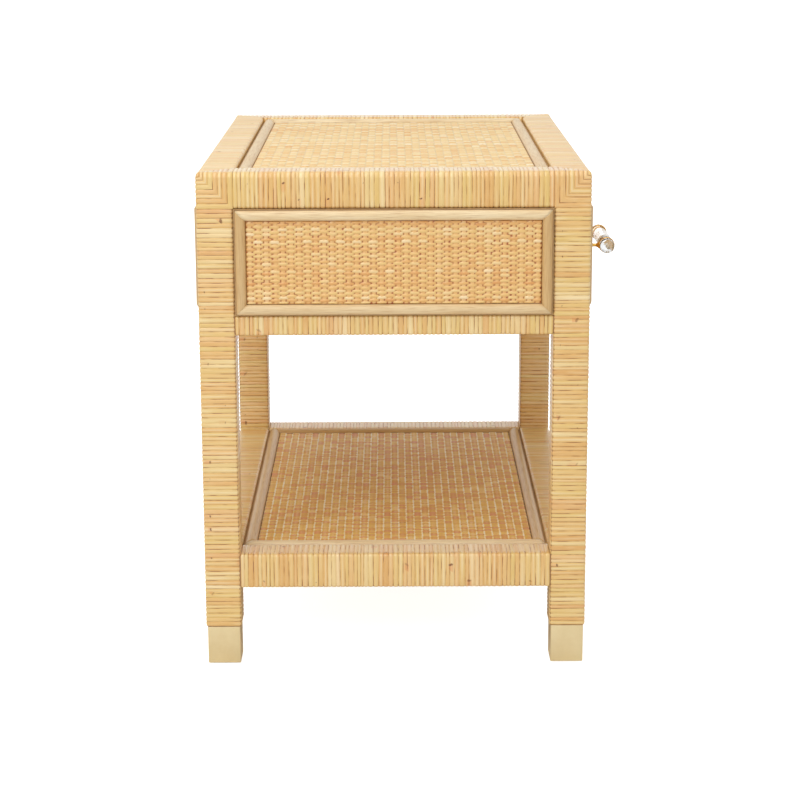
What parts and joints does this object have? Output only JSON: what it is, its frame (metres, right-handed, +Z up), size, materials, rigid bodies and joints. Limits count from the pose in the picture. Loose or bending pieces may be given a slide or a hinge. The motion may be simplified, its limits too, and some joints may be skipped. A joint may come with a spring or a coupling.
{
  "type": "nightstand",
  "caption": "Wide nightstand with a rattan-wrapped post frame, woven panels, a drawer with clear bar pulls, an open bay, a low shelf and brass foot caps.",
  "frame": {"origin": "on the floor, under the centre of the whole box with the pulls included", "axes": "+X along the drawer front (width), -Y out of the drawer front, +Z up"},
  "size_m": [0.6986, 0.5169, 0.615],
  "materials": {
    "rattan_peel": "satin split-rattan wrapping",
    "peeled_rattan": "bare half-round rattan core, matt",
    "woven_rattan": "plain-woven rattan webbing, satin",
    "frame_wood": "planed hardwood",
    "plywood": "sanded plywood",
    "drawer_wood": "sanded solid wood, clear lacquer",
    "foot_brass": "satin lacquered brass",
    "pull_brass": "polished brass",
    "clear_acrylic": "clear polished acrylic",
    "zinc_steel": "zinc-plated steel",
    "nylon": "white nylon"
  },
  "bodies": {
    "carcass": {"back_beads": "peeled_rattan", "back_board": "plywood", "back_webbing": "woven_rattan", "compartment_floor": "plywood", "drawer_rail_back": "frame_wood", "drawer_rail_front": "frame_wood", "drawer_rail_left": "frame_wood", "drawer_rail_right": "frame_wood", "drawer_rail_wraps": "rattan_peel", "floor_glides": "nylon", "foot_caps": "foot_brass", "leg_post_back_left": "frame_wood", "leg_post_back_right": "frame_wood", "leg_post_front_left": "frame_wood", "leg_post_front_right": "frame_wood", "leg_wrap_back_left": "rattan_peel", "leg_wrap_back_right": "rattan_peel", "leg_wrap_front_left": "rattan_peel", "leg_wrap_front_right": "rattan_peel", "runner_blocks": "frame_wood", "shelf_beads": "peeled_rattan", "shelf_board": "plywood", "shelf_rail_back": "frame_wood", "shelf_rail_front": "frame_wood", "shelf_rail_left": "frame_wood", "shelf_rail_right": "frame_wood", "shelf_rail_wraps": "rattan_peel", "shelf_webbing": "woven_rattan", "side_left_beads": "peeled_rattan", "side_left_board": "plywood", "side_left_webbing": "woven_rattan", "side_right_beads": "peeled_rattan", "side_right_board": "plywood", "side_right_webbing": "woven_rattan", "slide_cabinet_member_left": "zinc_steel", "slide_cabinet_member_right": "zinc_steel", "top_beads": "peeled_rattan", "top_board": "plywood", "top_rail_back": "frame_wood", "top_rail_front": "frame_wood", "top_rail_left": "frame_wood", "top_rail_right": "frame_wood", "top_rail_wraps": "rattan_peel", "top_webbing": "woven_rattan"},
    "drawer": {"drawer_back": "drawer_wood", "drawer_bottom": "plywood", "drawer_front_beads": "peeled_rattan", "drawer_front_board": "plywood", "drawer_front_webbing": "woven_rattan", "drawer_side_left": "drawer_wood", "drawer_side_right": "drawer_wood", "pull_brackets": "pull_brass", "pull_end_plugs": "pull_brass", "pull_rods": "clear_acrylic", "pull_screws": "zinc_steel", "slide_drawer_member_left": "zinc_steel", "slide_drawer_member_right": "zinc_steel"},
    "slide_middle_left": {"slide_middle_member_left": "zinc_steel"},
    "slide_middle_right": {"slide_middle_member_right": "zinc_steel"}
  },
  "joints": [
    {"name": "drawer_slide", "type": "slide", "parent": "carcass", "child": "drawer", "axis": [0, -1, 0], "range_m": [0, 0.3]},
    {"name": "slide_middle_left_travel", "type": "slide", "parent": "carcass", "child": "slide_middle_left", "axis": [0, -1, 0], "range_m": [0, 0.15]},
    {"name": "slide_middle_right_travel", "type": "slide", "parent": "carcass", "child": "slide_middle_right", "axis": [0, -1, 0], "range_m": [0, 0.15]}
  ],
  "couplings": [
    {"joint": "slide_middle_left_travel", "follows": "drawer_slide", "ratio": 0.5},
    {"joint": "slide_middle_right_travel", "follows": "drawer_slide", "ratio": 0.5}
  ]
}
